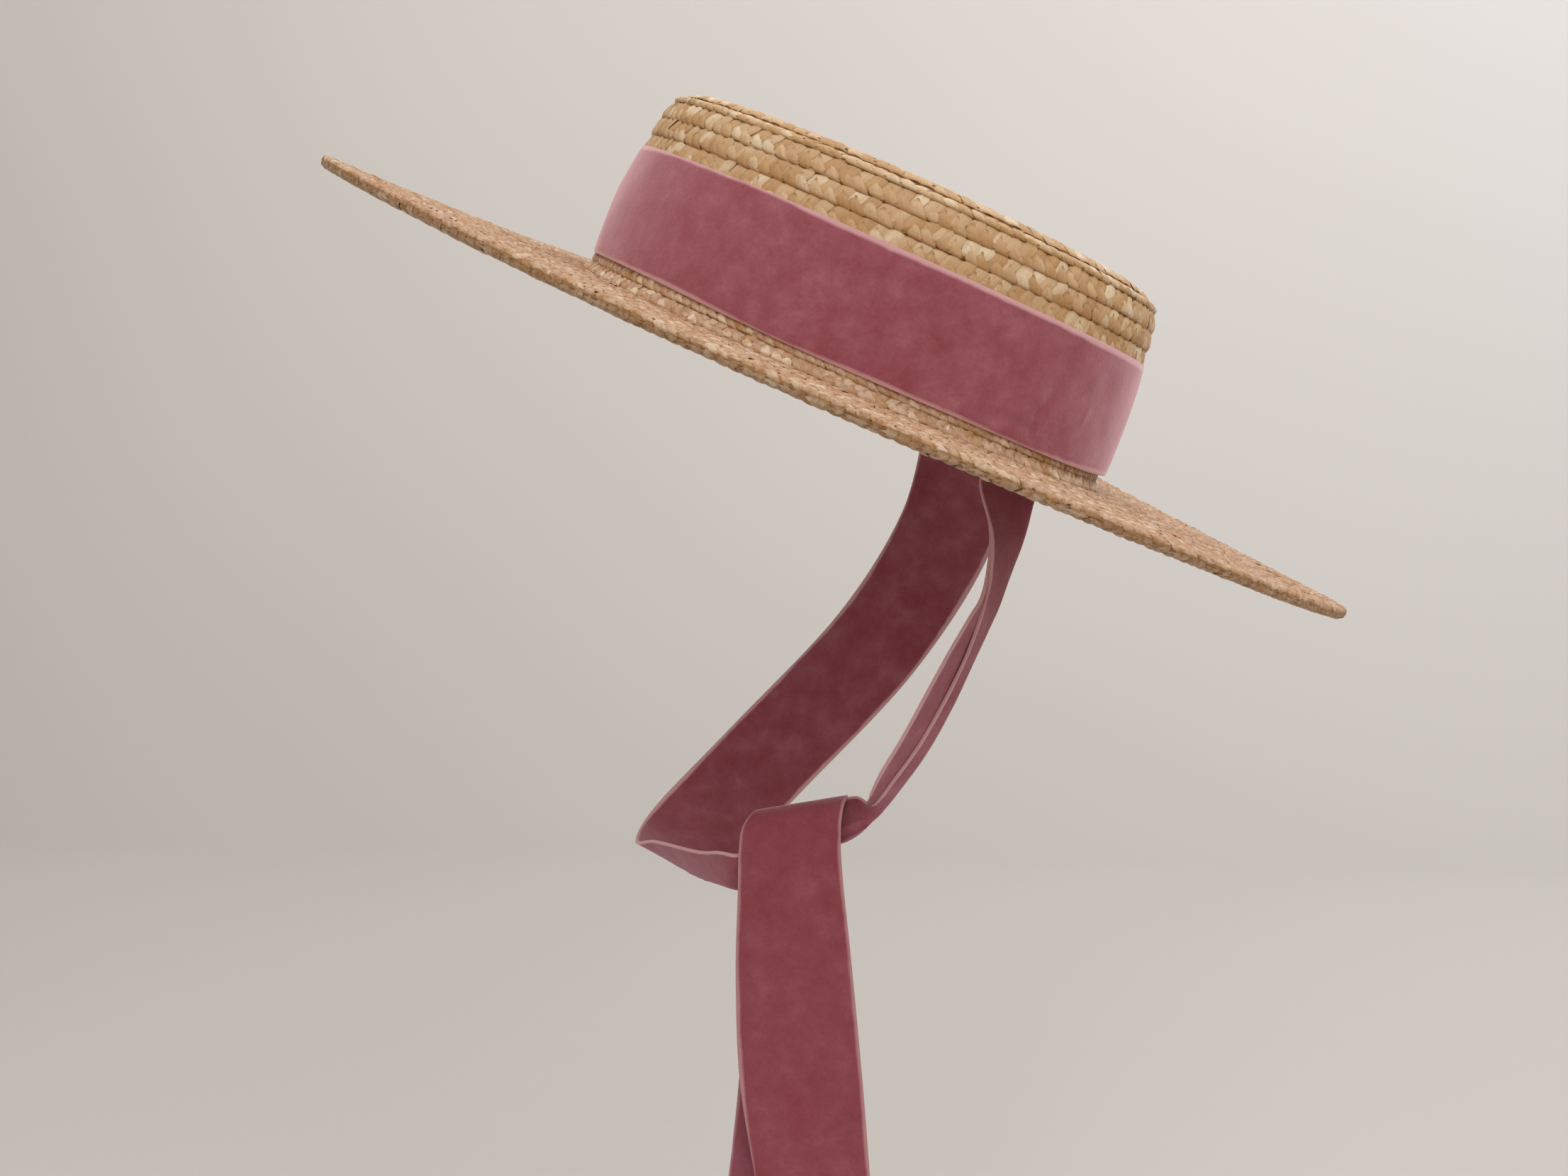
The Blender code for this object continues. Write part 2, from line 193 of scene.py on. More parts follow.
# Soft creases pressed into a ribbon: from and to as shares across and mm along, width, depth
FRONT_CREASES = [
    # across_a, along_a, across_b, along_b, width_mm, depth_mm
    (0.62, 118.0, 1.00, 112.0, 2.2, 0.55),
    (0.20, 78.0, 0.52, 92.0, 4.5, 0.6),
    (0.30, 66.0, 0.60, 74.0, 4.0, -0.45),
    (0.10, 40.0, 0.45, 34.0, 5.0, 0.35),
    (0.55, 60.0, 0.95, 50.0, 6.0, 0.35),
    (0.05, 128.0, 0.60, 136.0, 6.0, 0.4),
]
NEAR_CREASES = [
    # across_a, along_a, across_b, along_b, width_mm, depth_mm
    (0.37, 168.0, 0.37, 190.0, 1.3, 1.1),
    (0.46, 168.0, 0.45, 190.0, 1.0, -1.4),
]
BAND_CREASES = [
    # across_a, along_a, across_b, along_b, width_mm, depth_mm
    (0.13, 478.0, 0.15, 493.0, 1.8, -0.6),
    (0.10, 495.4, 0.26, 494.4, 0.9, -0.5),
    (0.12, 497.0, 0.20, 496.4, 0.9, 0.35),
    (0.27, 493.8, 0.42, 497.5, 1.6, -0.4),
    (0.42, 497.5, 0.86, 499.0, 2.6, -0.25),
    (0.22, 500.0, 0.34, 506.0, 4.0, 0.3),
    (0.36, 515.6, 0.46, 516.4, 1.0, 0.25),
    (0.92, 283.0, 0.10, 312.0, 6.0, 0.4),
    (0.80, 520.0, 0.30, 528.0, 5.0, -0.25),
]
BACK_CREASES = [
    # across_a, along_a, across_b, along_b, width_mm, depth_mm
    (0.00, 96.0, 0.35, 118.0, 3.0, 0.7),
    (0.10, 60.0, 0.80, 66.0, 6.0, 0.4),
]


def linear(code):
    """A colour's linear values from its sRGB hex code."""
    parts = [int(code[i:i + 2], 16) / 255 for i in (0, 2, 4)]
    return [p / 12.92 if p <= 0.04045 else ((p + 0.055) / 1.055) ** 2.4 for p in parts]


def colour(name, description, code):
    """A colour property with an sRGB hex default."""
    return FloatVectorProperty(
        name=name, description=description, default=linear(code), size=3,
        min=0.0, max=1.0, subtype="COLOR",
    )


def length(name, description, default_mm):
    """A length property with its default in millimetres."""
    return FloatProperty(
        name=name, description=description, default=default_mm * MM, unit="LENGTH",
        precision=5,
    )


class HatSizes(bpy.types.PropertyGroup):
    """Sizes of the hat and of its ribbon."""
    lean: FloatProperty(
        name="Lean", description="How far the hat leans back as worn",
        default=math.radians(23.45), subtype="ANGLE",
    )
    oval: length("Oval", "By how much half the length exceeds the mean radius", 9.5)
    crown_radius: length("Crown radius", "Mean radius of the crown low down", 89.1)
    shoulder_height: length("Shoulder height", "Where the side turns into the tip", 71.8)
    tip_rise: length("Tip rise", "How far the tip's middle stands over its edge", 2.4)
    wall: length("Wall", "Thickness of the crown's sewn plait", 2.2)
    brim_radius: length("Brim radius", "Mean radius of the brim's edge", 186.5)
    brim_thickness: length("Brim thickness", "Thickness of the brim's sewn plait", 2.4)
    row_pitch: length("Row pitch", "Height of plait that shows in each row", 6.65)
    row_lip: length("Row lip", "How far a row stands over the next one", 0.3)
    tooth: length("Tooth", "Length of one tooth of the plait", 4.45)
    ribbon_width: length("Ribbon width", "Width of the velvet ribbon", 41.0)
    ribbon_thickness: length("Ribbon thickness", "Thickness with its pile", 1.0)
    band_foot: length("Band foot", "Height of the band's lower edge", 7.9)
    selvedge: length("Selvedge", "Width of the woven edge of the ribbon", 1.2)


class HatColours(bpy.types.PropertyGroup):
    """Colours of the straw, the velvet and the stage."""
    straw: colour("Straw", "Most strands of the plait", "C49E6F")
    straw_pale: colour("Pale straw", "Bleached, shiny strands", "EFE0C4")
    straw_deep: colour("Deep straw", "Toasted strands", "B58A58")
    # The groove brown is painted shade, for straw between rows and strands and on the walls behind them
    groove: colour("Groove", "Shaded straw between rows and strands", "946A36")
    brim_straw: colour("Brim straw", "Most strands of the brim", "BA977A")
    velvet: colour("Velvet", "Pile seen from above", "985462")
    # The deep colour also darkens a ribbon's whole body as painted shade, and the bloom is partly
    # painted sheen
    velvet_deep_and_shade: colour("Deep velvet", "Pile that lies away", "8A3F49")
    velvet_bloom_and_painted_sheen: colour("Velvet bloom", "Brushed pile and its sheen", "B98089")
    edge: colour("Selvedge", "Woven edge of the ribbon", "D8ABAE")
    wall: colour("Backdrop", "Pale paper behind and below the hat", "D1CDC8")


def sizes():
    """The hat's sizes."""
    return bpy.context.scene.boater_sizes


def colours():
    """The hat's colours."""
    return bpy.context.scene.boater_colours


def in_mm(value):
    """A size in millimetres."""
    return value / MM


# Hat surface

def side_radius(z):
    """Mean radius in mm of the crown's outside at a height in mm."""
    rounding = ROUNDING * max(0.0, z - ROUND_FROM) ** 2
    return in_mm(sizes().crown_radius) - SIDE_TAPER * (z - TAPER_FROM) - rounding


def brim_lift(radius, angle):
    """How far the warp lifts brim points, in mm."""
    reach = in_mm(sizes().brim_radius) - WARP_START
    across = np.clip((radius - WARP_START) / reach, 0.0, None)
    waves = sum(c * np.cos(n * angle) + s * np.sin(n * angle) for n, c, s in WARP)
    return waves * across ** 1.6


def as_worn(radius, height, angle, warped=False):
    """Points in metres as worn, from mean radius and height in mm and an angle."""
    if warped:
        height = height + brim_lift(radius, angle)
    stretch = in_mm(sizes().oval) / np.maximum(radius, 90.0)
    x = radius * np.cos(angle) * (1 + stretch)
    y = radius * np.sin(angle) * (1 - stretch)
    lean = sizes().lean
    fore = x * math.cos(lean) + height * math.sin(lean)
    up = height * math.cos(lean) - x * math.sin(lean)
    return np.stack([fore, y, up], -1) * MM


# Mesh helpers

def deselect():
    """Leave edit mode and select nothing."""
    if bpy.context.object and bpy.context.object.mode != "OBJECT":
        bpy.ops.object.mode_set(mode="OBJECT")
    bpy.ops.object.select_all(action="DESELECT")


def activate(obj):
    """Select one object alone."""
    deselect()
    obj.select_set(True)
    bpy.context.view_layer.objects.active = obj


def get_points(obj):
    """Vertex coordinates as rows of three."""
    flat = np.empty(len(obj.data.vertices) * 3)
    obj.data.vertices.foreach_get("co", flat)
    return flat.reshape(-1, 3)


def set_points(obj, points):
    """Write vertex coordinates back."""
    obj.data.vertices.foreach_set("co", np.ascontiguousarray(points, dtype=float).ravel())
    obj.data.update()


def pull(obj, picks, move, stretch=(1.0, 1.0, 1.0)):
    """Stretch the points that a test picks about the origin, then move them."""
    activate(obj)
    bpy.ops.object.mode_set(mode="EDIT")
    bm = bmesh.from_edit_mesh(obj.data)
    for vert in bm.verts:
        vert.select_set(bool(picks(vert)))
    bm.select_flush_mode()
    bmesh.update_edit_mesh(obj.data)
    bpy.ops.transform.resize(value=stretch, center_override=(0.0, 0.0, 0.0))
    bpy.ops.transform.translate(value=move)
    bpy.ops.object.mode_set(mode="OBJECT")


def pick_edges(obj, picks):
    """In edit mode, select only the edges that a test picks."""
    bpy.ops.mesh.select_all(action="DESELECT")
    bm = bmesh.from_edit_mesh(obj.data)
    for edge in bm.edges:
        edge.select_set(bool(picks(edge)))
    bmesh.update_edit_mesh(obj.data)


def apply_all(obj):
    """Apply every modifier in order."""
    activate(obj)
    for modifier in list(obj.modifiers):
        bpy.ops.object.modifier_apply(modifier=modifier.name)


def join(objects, name):
    """Join objects into one with a plain name."""
    deselect()
    for obj in objects:
        obj.select_set(True)
    bpy.context.view_layer.objects.active = objects[0]
    if len(objects) > 1:
        bpy.ops.object.join()
    objects[0].name = name
    objects[0].data.name = name
    return objects[0]


def finish_piece(obj, material, nodes):
    """Give a piece its finish, smooth it and seat it on the frame."""
    obj.data.materials.clear()
    obj.data.materials.append(material)
    obj.data.polygons.foreach_set("use_smooth", [True] * len(obj.data.polygons))
    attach(obj, "root")
    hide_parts(*nodes)


# Materials

def fill(tree, made, **links):
    """Fill a node's inputs. A link names an input, or its number as _0, and gives it a
    value, a socket or a node whose first output is used."""
    for key, value in links.items():
        socket = made.inputs[int(key[1:]) if key[0] == "_" else key.replace("_", " ")]
        if isinstance(value, bpy.types.Node):
            value = value.outputs[0]
        if isinstance(value, bpy.types.NodeSocket):
            tree.links.new(value, socket)
        elif socket.type == "RGBA":
            socket.default_value = (*value, 1.0)
        else:
            socket.default_value = value


def node(tree, kind, settings=None, stops=(), **links):
    """A node with its settings, ramp stops and filled inputs."""
    made = tree.nodes.new(kind)
    for key, value in (settings or {}).items():
        setattr(made, key, value)
    for k, (place, rgb) in enumerate(stops):
        elements = made.color_ramp.elements
        element = elements[k] if k < len(elements) else elements.new(place)
        element.position = place
        element.color = (*rgb, 1.0)
    fill(tree, made, **links)
    return made


def blank_material(name):
    """A material with its node tree, its Principled shader and its Object coordinates."""
    material = bpy.data.materials.new(name)
    material.use_nodes = True
    tree = material.node_tree
    place = node(tree, "ShaderNodeTexCoord").outputs["Object"]
    return material, tree, tree.nodes["Principled BSDF"], place


def blend(a, b, share):
    """A colour between two others."""
    return [x + (y - x) * share for x, y in zip(a, b)]


def straw_material(name, main, contrast, gloss, specks):
    """Wheat straw, split and flattened: a waxy, silky gloss with fine grain along each strand, toned
    strand by strand, with painted shade in the groove brown along each strand's edges and where strands
    dive under their neighbours. contrast spreads the tones, gloss is the least roughness and specks are
    its flecks."""
    shades = colours()
    material, tree, shader, place = blank_material(name)
    uv = node(tree, "ShaderNodeUVMap", {"uv_map": "UVMap"})
    tone = node(tree, "ShaderNodeAttribute", {"attribute_name": "tone"}).outputs["Fac"]
    on_strand = node(tree, "ShaderNodeSeparateXYZ", Vector=uv)
    across, along = on_strand.outputs[0], on_strand.outputs[1]

    # Grain every 0.3 mm across a strand of 4 mm, drawn out along it
    strand_shift = node(tree, "ShaderNodeMath", {"operation": "MULTIPLY"}, _0=tone, _1=37.0)
    fine_across = node(tree, "ShaderNodeMath", {"operation": "MULTIPLY"}, _0=across, _1=12.0)
    grain_at = node(tree, "ShaderNodeCombineXYZ", X=fine_across, Y=along, Z=strand_shift)
    grain = node(tree, "ShaderNodeTexNoise", Vector=grain_at, Scale=1.0, Detail=3.0)
    # Patches of weathering about 12 mm wide and darker flecks of about 2 mm
    patch = node(tree, "ShaderNodeTexNoise", Vector=place, Scale=80.0, Detail=2.0)
    speck = node(tree, "ShaderNodeTexNoise", Vector=place, Scale=520.0, Detail=3.0, Roughness=0.6)

    drift = node(tree, "ShaderNodeMath", {"operation": "MULTIPLY_ADD"}, _0=patch, _1=0.8, _2=-0.4)
    spread = node(tree, "ShaderNodeMath", {"operation": "ADD"}, _0=tone, _1=drift)
    deep = blend(main, shades.straw_deep, contrast)
    pale = blend(main, shades.straw_pale, contrast)
    body = node(tree, "ShaderNodeValToRGB", Fac=spread, stops=[
        (0.0, deep), (0.36, main), (0.82, blend(main, pale, 0.35)), (1.0, blend(main, pale, 0.85))])
    streak = node(tree, "ShaderNodeValToRGB", Fac=grain, stops=[
        (0.30, [0.84] * 3), (0.66, [1.04] * 3)])
    body = node(tree, "ShaderNodeMix", MULTIPLY_COLOURS, _0=1.0, _6=body, _7=streak)
    dark = [1.0 - specks * drop for drop in (0.22, 0.34, 0.44)]
    dots = node(tree, "ShaderNodeValToRGB", Fac=speck, stops=[
        (0.20 + 0.12 * specks, dark), (0.34 + 0.14 * specks, [1.0] * 3)])
    body = node(tree, "ShaderNodeMix", MULTIPLY_COLOURS, _0=1.0, _6=body.outputs[2], _7=dots)

    # Painted shade: a strand darkens to the groove brown along its two edges and where its ends go
    # under the next row
    for share, start, amount in ((across, 0.36, 0.35), (along, 0.27, 0.95)):
        off = node(tree, "ShaderNodeMath", {"operation": "SUBTRACT"}, _0=share, _1=0.5)
        off = node(tree, "ShaderNodeMath", {"operation": "ABSOLUTE"}, _0=off)
        painted_shade = node(tree, "ShaderNodeMapRange", Value=off, From_Min=start, From_Max=0.5,
                   To_Max=amount)
        body = node(tree, "ShaderNodeMix", {"data_type": "RGBA"}, _0=painted_shade, _6=body.outputs[2],
                    _7=shades.groove)
    rough = node(tree, "ShaderNodeMapRange", Value=grain, To_Min=gloss, To_Max=gloss + 0.22)
    bump = node(tree, "ShaderNodeBump", Height=grain, Strength=0.3, Distance=0.00012)
    fill(tree, shader, Base_Color=body.outputs[2], Roughness=rough, IOR=1.53,
         Specular_IOR_Level=0.5, Normal=bump)
    return material


def groove_material():
    """The inside of the plait between its strands: matt straw in the groove brown, which is painted
    shade, mottled.
    """
    material, tree, shader, place = blank_material("Wheat straw, shaded between the strands")
    # Mottling of about 2.4 mm
    speck = node(tree, "ShaderNodeTexNoise", Vector=place, Scale=420.0, Detail=2.0)
    groove = colours().groove
    body = node(tree, "ShaderNodeValToRGB", Fac=speck, stops=[
        (0.3, [c * 0.7 for c in groove]), (0.7, [c * 1.1 for c in groove])])
    bump = node(tree, "ShaderNodeBump", Height=speck, Strength=0.5, Distance=0.0004)
    fill(tree, shader, Base_Color=body, Roughness=0.85, Normal=bump)
    return material


def velvet_material(ribbon):
    """Cut-pile velvet ribbon: a soft matt body with faint brushed patches whose pale bloom is partly
    painted sheen, a shader sheen that blooms pale where the pile is seen from its side, and a lighter
    woven selvedge with fine ribs. Each ribbon's shares tint its body as painted shade or painted light."""
    shades = colours()
    painted_shade_share, bloom_and_painted_light_share, deep_share, edge_share, sheen = VELVETS[ribbon]
    material, tree, shader, place = blank_material(f"Cut velvet ribbon, {ribbon}")
    uv = node(tree, "ShaderNodeUVMap", {"uv_map": "UVMap"})
    on_ribbon = node(tree, "ShaderNodeSeparateXYZ", Vector=uv)
    across, along = on_ribbon.outputs[0], on_ribbon.outputs[1]

    # Brushed patches of 3 to 9 mm, whose pale bloom is partly painted sheen, and clumps of pile about 1
    # mm wide
    clouds = node(tree, "ShaderNodeTexNoise", Vector=place, Scale=110.0, Detail=4.0, Roughness=0.6)
    clumps = node(tree, "ShaderNodeTexNoise", Vector=place, Scale=900.0, Detail=2.0)
    # Pile tufts every 0.25 mm, drawn at 0.4 mm so that they show
    tufts = node(tree, "ShaderNodeTexNoise", Vector=place, Scale=2500.0, Detail=1.0)

    # Painted shade darkens the whole body by its share, and painted light pales the bloom patches by
    # theirs
    velvet = blend(shades.velvet, shades.velvet_deep_and_shade, painted_shade_share)
    body = node(tree, "ShaderNodeValToRGB", Fac=clouds, stops=[
        (0.28, blend(velvet, shades.velvet_deep_and_shade, deep_share)), (0.54, velvet),
        (0.76, blend(velvet, shades.velvet_bloom_and_painted_sheen, bloom_and_painted_light_share))])
    fleck = node(tree, "ShaderNodeValToRGB", Fac=clumps, stops=[
        (0.3, [0.93] * 3), (0.7, [1.05] * 3)])
    body = node(tree, "ShaderNodeMix", MULTIPLY_COLOURS, _0=1.0, _6=body, _7=fleck)

    # Woven edge at each side, with ribs every 0.55 mm along it. The pile's edge wavers, and
    # covers the woven edge here and there
    off = node(tree, "ShaderNodeMath", {"operation": "SUBTRACT"}, _0=across, _1=0.5)
    off = node(tree, "ShaderNodeMath", {"operation": "ABSOLUTE"}, _0=off)
    waver = node(tree, "ShaderNodeTexNoise", Vector=place, Scale=160.0, Detail=3.0)
    off = node(tree, "ShaderNodeMath", {"operation": "MULTIPLY_ADD"}, _0=waver, _1=0.022, _2=off)
    worn = node(tree, "ShaderNodeTexNoise", Vector=place, Scale=14.0, Detail=1.0)
    off = node(tree, "ShaderNodeMath", {"operation": "MULTIPLY_ADD"}, _0=worn, _1=0.09, _2=off)
    # The ribbon ends at 0.5 from its middle, and the two noises add about 0.058
    width = sizes().ribbon_width
    start = 0.558 - sizes().selvedge / width
    woven = node(tree, "ShaderNodeMapRange", Value=off, From_Min=start - 0.012,
                 From_Max=start + 0.012, To_Max=edge_share)
    ribs = node(tree, "ShaderNodeMath", {"operation": "MULTIPLY"}, _0=along,
                _1=math.tau * in_mm(width) / RIB_PITCH)
    ribs = node(tree, "ShaderNodeMath", {"operation": "SINE"}, _0=ribs)
    ribs = node(tree, "ShaderNodeMapRange", Value=ribs, From_Min=-1.0)
    edge = shades.edge
    rib_tone = node(tree, "ShaderNodeValToRGB", Fac=ribs, stops=[
        (0.0, [c * 0.82 for c in edge]), (1.0, [min(1.0, c * 1.12) for c in edge])])
    body = node(tree, "ShaderNodeMix", {"data_type": "RGBA"}, _0=woven, _6=body.outputs[2],
                _7=rib_tone)

    coarse = node(tree, "ShaderNodeBump", Height=clumps, Strength=0.2, Distance=0.0005)
    fine = node(tree, "ShaderNodeBump", Height=tufts, Strength=0.35, Distance=0.0002, Normal=coarse)
    fill(tree, shader, Base_Color=body.outputs[2], Roughness=0.92, Specular_IOR_Level=0.15,
         Sheen_Weight=sheen, Sheen_Roughness=0.5, Sheen_Tint=linear("F2D3DA"), Normal=fine)
    return material


def backdrop_material():
    """Matt wall paint: nearly even, pale and neutral."""
    material, tree, shader, place = blank_material("Matt wall paint")
    drift = node(tree, "ShaderNodeTexNoise", Vector=place, Scale=0.8, Detail=1.0)
    wall = colours().wall
    body = node(tree, "ShaderNodeValToRGB", Fac=drift, stops=[
        (0.3, [c * 0.97 for c in wall]), (0.7, [min(1.0, c * 1.02) for c in wall])])
    fill(tree, shader, Base_Color=body, Roughness=0.95)
    return material


# Straw plait

def strand(name, top, foot, bow, widths, ends, heights):
    """One flat strand as it shows between two crossings, in tooth lengths across, row
    heights down and mm proud. top and foot end its middle line and bow bends that line.
    widths and ends go down the strand, heights go across it."""
    deselect()
    bpy.ops.mesh.primitive_grid_add(x_subdivisions=4, y_subdivisions=3, size=1.0)
    obj = bpy.context.object
    obj.name = name
    run = foot[1] - top[1]
    for row in range(4):
        t = row / 3
        slide = (foot[0] - top[0]) * (t - 0.5) + bow * 4 * t * (1 - t)
        pull(obj, lambda vert: vert.index // 5 == row, (slide, 0.0, ends[row]),
             (widths[row], run, 1.0))
    for column in range(5):
        pull(obj, lambda vert: vert.index % 5 == column, (0.0, 0.0, heights[column]))
    bpy.ops.transform.translate(value=((top[0] + foot[0]) / 2, (top[1] + foot[1]) / 2, 0.0))
    bpy.ops.object.transform_apply(location=True, rotation=False, scale=False)
    return obj


def plait_tooth():
    """One tooth of the plait: a broad strand leaning one way, and the strand that turns
    back over its foot the other way."""
    broad = strand("broad_strand", top=(0.34, -0.12), foot=(-0.32, 0.84), bow=0.08,
                   widths=(0.95, 1.26, 1.12, 0.34), ends=(-0.16, 0.02, 0.08, -0.12),
                   heights=(-0.28, 0.04, 0.20, 0.14, -0.14))
    turn = strand("turned_strand", top=(-0.06, 0.22), foot=(0.52, 1.0), bow=-0.10,
                  widths=(0.26, 0.84, 1.20, 1.06), ends=(-0.08, 0.12, 0.20, -0.30),
                  heights=(-0.16, 0.12, 0.25, 0.17, -0.20))
    tooth = join([broad, turn], "plait_tooth")
    tooth.hide_render = True
    return tooth


def lay_row(tooth, row, seed, warped, tooth_mm=None, relief=1.0):
    """A strip of teeth repeated with an array, then laid round the hat along one row. row
    has the tucked edge, the middle and the proud edge as radius and height in mm; relief
    makes the teeth stand out more."""
    rng = np.random.default_rng(seed)
    start, middle, end = (np.array(point) for point in row)
    round_mm = math.tau * max(middle[0], 1.0)
    count = max(6, round(round_mm / (tooth_mm or in_mm(sizes().tooth))))
    strip = tooth.copy()
    strip.data = tooth.data.copy()
    bpy.context.collection.objects.link(strip)
    strip.hide_render = False
    array = strip.modifiers.new("teeth", "ARRAY")
    array.use_relative_offset = False
    array.use_constant_offset = True
    array.constant_offset_displace = (1.0, 0.0, 0.0)
    array.count = count
    apply_all(strip)

    points = get_points(strip)
    per_strand = len(tooth.data.vertices) // 2
    strand_of = np.arange(len(points)) // per_strand
    strands = strand_of.max() + 1
    tone = rng.random(strands)
    middles = points.reshape(strands, per_strand, 3).mean(axis=1)[strand_of]
    points[:, 2] += rng.normal(0.0, 0.22, strands)[strand_of] * (points - middles)[:, 0]
    points[:, 0] += rng.normal(0.0, 0.10, strands)[strand_of] * (points - middles)[:, 1]
    points[:, 2] += rng.normal(0.0, 0.07, strands)[strand_of]
    points[:, 2] *= relief
    points[:, 0] += rng.normal(0.0, 0.06, strands)[strand_of]
    points[:, 1] += rng.normal(0.0, 0.025, strands)[strand_of]

    t = points[:, 1][:, None]
    bend = 2 * middle - (start + end) / 2
    place = (1 - t) ** 2 * start + 2 * t * (1 - t) * bend + t ** 2 * end
    along = 2 * (1 - t) * (bend - start) + 2 * t * (end - bend)
    along /= np.linalg.norm(along, axis=1)[:, None]
    place += np.stack([-along[:, 1], along[:, 0]], -1) * points[:, 2][:, None]
    angle = points[:, 0] / count * math.tau + rng.random() * math.tau
    set_points(strip, as_worn(np.maximum(place[:, 0], 0.05), place[:, 1], angle, warped))
    strip.data.flip_normals()
    mark = strip.data.attributes.new("tone", "FLOAT", "POINT")
    mark.data.foreach_set("value", tone[strand_of].astype(np.float32))
    return strip


def even_rows(start, end, count):
    """The first edge, middle and last edge of each of a count of even rows."""
    edges = np.linspace(start, end, count + 1)
    return [(a, (a + b) / 2, b) for a, b in zip(edges, edges[1:])]


def crown_outer_rows():
    """Rows of the tip from its middle outwards, the side's rows, and the two at its foot."""
    size = sizes()
    pitch = in_mm(size.row_pitch)
    lip = in_mm(size.row_lip)
    shoulder = in_mm(size.shoulder_height)
    rise = in_mm(size.tip_rise)
    edge = side_radius(shoulder) - 6.0
    tip_end = edge + 3.4

    def tip_z(r):
        return shoulder + rise * (1 - (r / edge) ** 2)

    tip = []
    for r0, mid, r1 in even_rows(0.0, tip_end, round(tip_end / pitch)):
        tuck = lip * 0.7 if r0 else 0.0
        tip.append(((r0, tip_z(r0) - tuck), (mid, tip_z(mid)), (r1, tip_z(r1) + 0.2)))
    start, (mid, level), _ = tip[-1]
    tip[-1] = (start, (mid + 0.8, level + 0.1), (tip_end + 1.7, tip_z(tip_end) - 1.5))
    groove_radius = side_radius(GROOVE_HEIGHT)
    side = [((tip_end + 0.2, shoulder - 2.4), (groove_radius - 1.0, shoulder - 3.0),
             (groove_radius + 0.15, GROOVE_HEIGHT + 0.2))]
    band_top = in_mm(size.band_foot + size.ribbon_width)
    z = GROOVE_HEIGHT
    while z > band_top:
        lower = z - pitch
        mid = (z + lower) / 2
        side.append(((side_radius(z) - lip, z + 0.4), (side_radius(mid) - lip / 2 + 0.4, mid),
                     (side_radius(lower) + 0.05, lower + 0.1)))
        z = lower
    foot = in_mm(size.band_foot)
    base = side_radius(foot)
    seat = in_mm(size.brim_thickness) / 2
    feet = [((base - lip, foot + 2.2), (base - 0.1, foot - 0.6), (base + 0.5, foot - 2.6)),
            ((base - 0.3, foot - 2.0), (base + 0.9, foot - 4.2), (base + 2.6, seat + 0.5))]
    return tip, side, feet


def crown_inner_rows():
    """Rows inside the crown, from the head opening up the side and in across the tip."""
    size = sizes()
    pitch = in_mm(size.row_pitch)
    lip = in_mm(size.row_lip)
    wall = in_mm(size.wall)
    rows = []
    z = -in_mm(size.brim_thickness) / 2
    top = GROOVE_HEIGHT - 1.0
    for low, mid, high in even_rows(z, top, round((top - z) / pitch)):
        inner = [side_radius(max(level, 0.0)) - lip - wall for level in (low, mid, high)]
        rows.append(((inner[0] + lip * 0.8, low), (inner[1] + 0.2, mid), (inner[2] - 0.1, high)))
    edge = side_radius(in_mm(size.shoulder_height)) - 6.6
    roof = in_mm(size.shoulder_height + size.tip_rise) - wall - lip
    rows.append(((side_radius(GROOVE_HEIGHT) - lip - wall + 0.5, top), (edge + 4.2, top + 2.8),
                 (edge, roof - 1.8)))
    for r0, mid, r1 in even_rows(edge, 0.0, round(edge / pitch)):
        drop = [1.8 * (r / edge) ** 2 for r in (r0, mid, r1)]
        rows.append(((r0, roof - drop[0] + 0.5), (mid, roof - drop[1]), (r1, roof - drop[2] - 0.1)))
    return rows


def brim_rows():
    """Upper rows from the crown outwards, and under rows from the edge inwards."""
    size = sizes()
    lip = in_mm(size.row_lip)
    half = in_mm(size.brim_thickness) / 2
    outer = in_mm(size.brim_radius)
    seat = side_radius(0) + 0.6
    count = round((outer - seat) / (in_mm(size.row_pitch) * 0.96))
    step = (outer - seat) / count
    last = outer - step
    upper, under = [], []
    for r0, mid, r1 in even_rows(seat, last, count - 1):
        upper.append(((r0, half - lip * 0.6), (mid, half + 0.05), (r1, half + 0.25)))
    upper.append(((last, half - lip * 0.6), (outer - 1.6, half + 0.45), (outer + 0.2, 0.0)))
    under.append(((outer + 0.2, 0.0), (outer - 1.6, -half - 0.45), (last, -half - 0.3)))
    inner = side_radius(0) - lip - in_mm(size.wall)
    first = seat + step
    for r0, mid, r1 in even_rows(last, first, count - 2) + even_rows(first, inner, 1):
        under.append(((r0, -half + lip * 0.6), (mid, -half - 0.05), (r1, -half - 0.25)))
    return upper, under


def ground_shell(name, profile, warped):
    """The wall behind the strands: a closed profile spun round the hat's axis."""
    mesh = bpy.data.meshes.new(name)
    count = len(profile)
    closed = profile[0][0] > 0.01
    edges = [(i, i + 1) for i in range(count - 1)] + ([(count - 1, 0)] if closed else [])
    mesh.from_pydata([(r, 0.0, z) for r, z in profile], edges, [])
    obj = bpy.data.objects.new(name, mesh)
    bpy.context.collection.objects.link(obj)
    activate(obj)
    bpy.ops.object.mode_set(mode="EDIT")
    bpy.ops.mesh.select_all(action="SELECT")
    bpy.ops.mesh.spin(steps=144, angle=math.tau, center=(0.0, 0.0, 0.0), axis=(0.0, 0.0, 1.0))
    bpy.ops.mesh.select_all(action="SELECT")
    bpy.ops.mesh.remove_doubles(threshold=0.01)
    bpy.ops.mesh.normals_make_consistent(inside=False)
    bpy.ops.object.mode_set(mode="OBJECT")
    points = get_points(obj)
    radius = np.hypot(points[:, 0], points[:, 1])
    angle = np.arctan2(points[:, 1], points[:, 0])
    set_points(obj, as_worn(radius, points[:, 2], angle, warped))
    obj.data.uv_layers.new(name="UVMap")
    return obj


